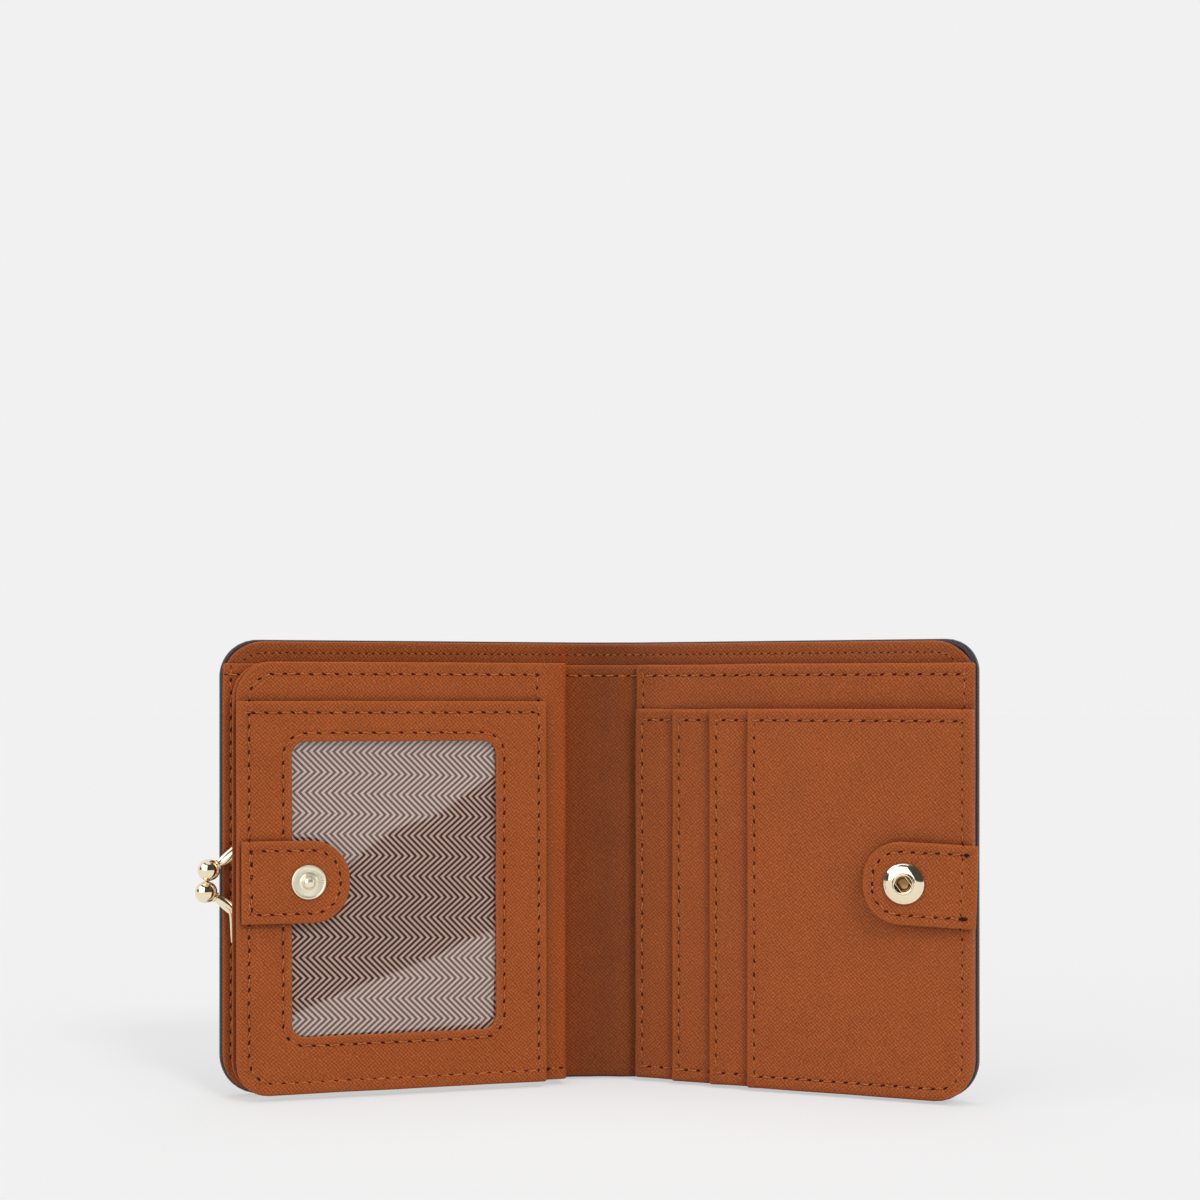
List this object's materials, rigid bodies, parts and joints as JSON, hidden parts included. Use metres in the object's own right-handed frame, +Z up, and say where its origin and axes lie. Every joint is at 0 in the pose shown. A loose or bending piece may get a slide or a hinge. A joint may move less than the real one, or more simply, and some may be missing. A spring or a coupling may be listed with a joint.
{
  "type": "compact wallet",
  "caption": "Folding wallet with a framed kiss-lock coin purse, a window pocket, stepped card leaves and a note pocket, closed by a snap fastener on two tabs.",
  "frame": {"origin": "middle of the spine skin's lower edge, where the open wallet stands", "axes": "+Z up along the spine, +X towards the card half, +Y out of the back of the spine"},
  "size_m": [0.1873, 0.0383, 0.11],
  "materials": {
    "tan_leather": "cross-hatched embossed leatherette, satin, tan",
    "dark_cover": "coated cloth, very dark brown, satin",
    "board": "raw greyboard",
    "lining_cloth": "woven herringbone, brown and pale pink",
    "clear_film": "clear flexible film, glossy",
    "gold_metal": "polished, pale gold plated"
  },
  "bodies": {
    "spine": {"spine_cover": "dark_cover", "spine_lining": "tan_leather", "spine_note_wall": "tan_leather"},
    "left_cover": {"left_cover_skin": "dark_cover", "left_cover_board": "board", "left_cover_lining": "tan_leather", "left_note_wall": "tan_leather", "purse_back_wall": "tan_leather", "purse_frame_back": "gold_metal", "rivet_top": "gold_metal", "rivet_bottom": "gold_metal", "gusset_top": "lining_cloth", "gusset_bottom": "lining_cloth", "page_fold": "tan_leather", "clasp_knob_back": "gold_metal"},
    "page": {"purse_front_wall": "tan_leather", "purse_frame_front": "gold_metal", "clasp_knob_front": "gold_metal", "page_ply": "tan_leather", "page_base": "tan_leather", "id_backing": "lining_cloth", "id_film": "clear_film", "window_leaf": "tan_leather"},
    "stud_tab": {"stud_tab_front": "tan_leather", "stud_tab_back": "tan_leather", "snap_stud": "gold_metal", "stud_cap": "gold_metal"},
    "right_cover": {"right_cover_skin": "dark_cover", "right_cover_board": "board", "right_cover_lining": "tan_leather", "right_note_wall": "tan_leather", "slip_panel": "tan_leather", "card_leaf_1": "tan_leather", "card_leaf_2": "tan_leather", "card_leaf_3": "tan_leather", "card_leaf_4": "tan_leather"},
    "socket_tab": {"socket_tab_front": "tan_leather", "socket_tab_back": "tan_leather", "snap_socket": "gold_metal", "socket_spring": "gold_metal", "socket_cap": "gold_metal"}
  },
  "joints": [
    {"name": "left_fold", "type": "hinge", "parent": "spine", "child": "left_cover", "pos_m": [-0.00695, -0.00485, 0], "axis": [0, 0, 1], "range_deg": [-15, 75]},
    {"name": "right_fold", "type": "hinge", "parent": "spine", "child": "right_cover", "pos_m": [0.0082, -0.0036, 0], "axis": [0, 0, -1], "range_deg": [-20.5, 69.5]},
    {"name": "purse_open", "type": "hinge", "parent": "left_cover", "child": "page", "pos_m": [-0.01473, -0.00771, 0], "axis": [0, 0, -1], "range_deg": [-40, 0], "deforming": ["gusset_top", "gusset_bottom", "page_fold"]},
    {"name": "stud_tab_lift", "type": "hinge", "parent": "page", "child": "stud_tab", "pos_m": [-0.08562, -0.0325, 0], "axis": [0, 0, 1], "range_deg": [-90, 0]},
    {"name": "socket_tab_lift", "type": "hinge", "parent": "right_cover", "child": "socket_tab", "pos_m": [0.08633, -0.03676, 0], "axis": [0, 0, -1], "range_deg": [-110, 4.5]}
  ]
}
